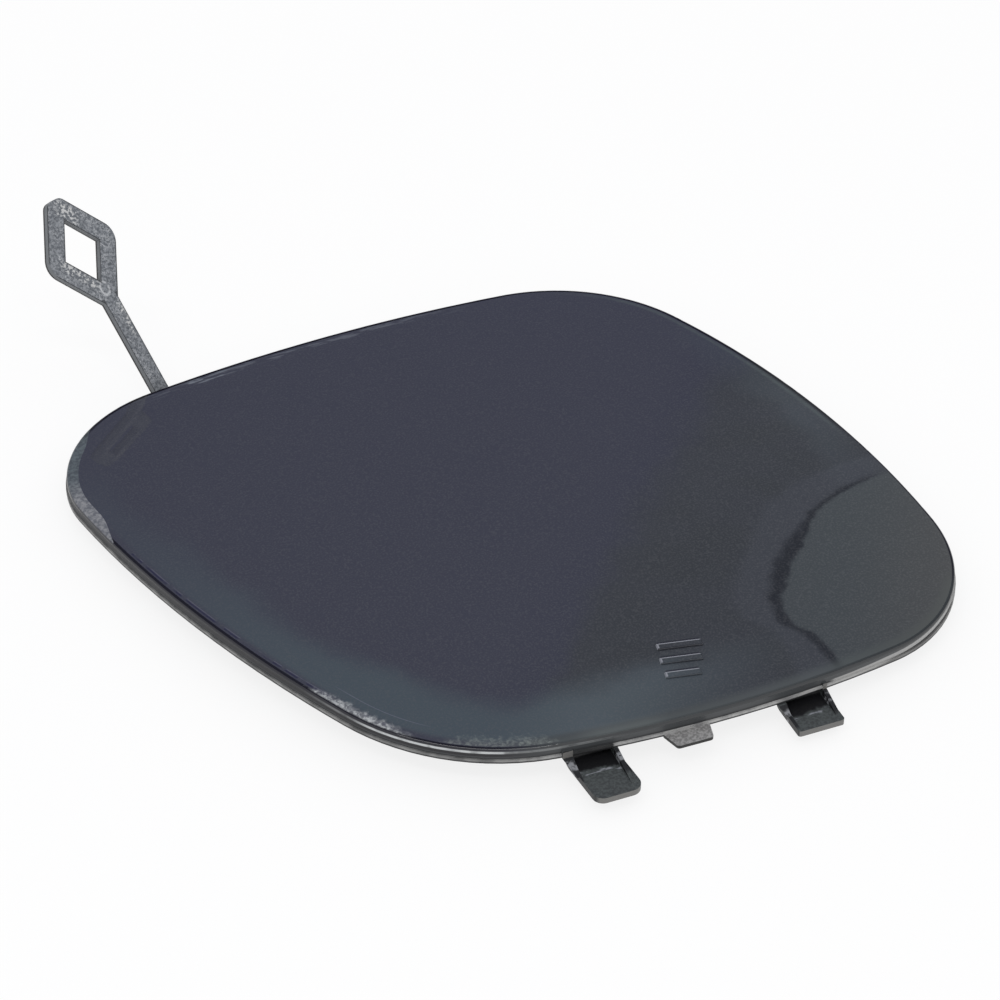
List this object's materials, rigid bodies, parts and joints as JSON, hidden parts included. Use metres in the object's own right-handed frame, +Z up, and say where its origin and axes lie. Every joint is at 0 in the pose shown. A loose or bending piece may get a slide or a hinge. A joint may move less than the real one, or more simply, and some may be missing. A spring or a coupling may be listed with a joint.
{
  "type": "bumper tow hook cover",
  "caption": "Crowned moulded cover plate with rounded corners, hooks and a tongue on one edge, snap arms behind, and a tether strap that ends in a diamond eye",
  "frame": {"origin": "Middle of the bounding box in X and Y, at the height of the rim's flat foot", "axes": "X runs along the hook side, Y from the hooks to the tether, Z up out of the show face"},
  "size_m": [0.1334, 0.1454, 0.0342],
  "materials": {
    "cover_plastic": "smooth glossy show face, raw matt back"
  },
  "bodies": {
    "root": {"tow_hook_cover": "cover_plastic"}
  },
  "joints": []
}
